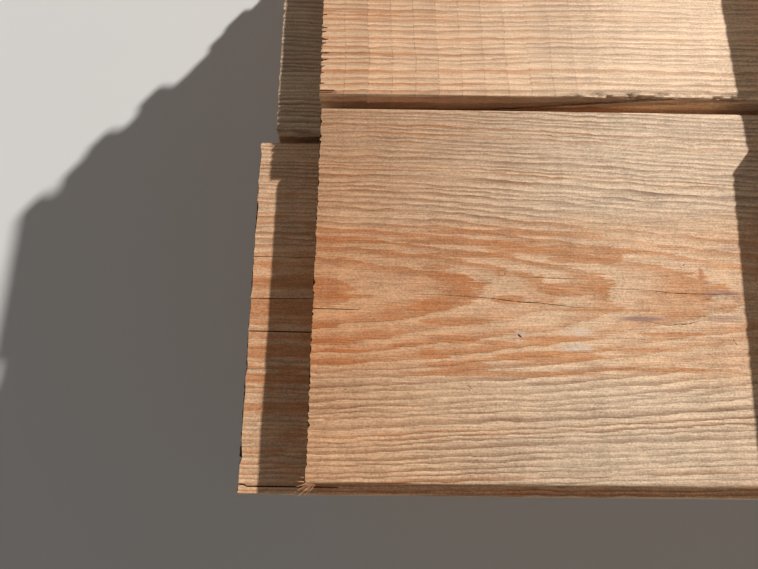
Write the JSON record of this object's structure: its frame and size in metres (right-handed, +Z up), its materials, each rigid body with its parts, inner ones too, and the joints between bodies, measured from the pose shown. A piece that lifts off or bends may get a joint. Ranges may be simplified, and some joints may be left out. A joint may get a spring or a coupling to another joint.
{
  "type": "stack of pine planks",
  "caption": "Stack of wide dressed pine planks laid flat in full tiers, with staggered ends and a set-back tier of shorter planks on top.",
  "frame": {"origin": "on the floor, at the middle of the bottom of the stack's bounding box", "axes": "+X along the planks, away from the end that the picture shows; +Y across the planks, from the near side to the far side; +Z up"},
  "size_m": [3.1186, 1.182, 0.6477],
  "materials": {
    "pine": "dressed and dry, unfinished, with rough-sawn ends"
  },
  "bodies": {
    "root": {"tier_01": "pine", "tier_02": "pine", "tier_03": "pine", "tier_04": "pine", "tier_05": "pine", "tier_06": "pine", "tier_07": "pine", "tier_08": "pine", "tier_09": "pine", "tier_10": "pine", "tier_11": "pine", "tier_12": "pine", "tier_13": "pine", "tier_14": "pine", "tier_15_plank_1": "pine", "tier_15_plank_2": "pine", "tier_15_plank_3": "pine", "tier_15_plank_4": "pine", "tier_16_plank_1": "pine", "tier_16_plank_2": "pine", "tier_16_plank_3": "pine", "tier_16_plank_4": "pine", "tier_17_plank_1": "pine", "tier_17_plank_2": "pine", "tier_17_plank_3": "pine", "tier_17_plank_4": "pine"}
  },
  "joints": []
}
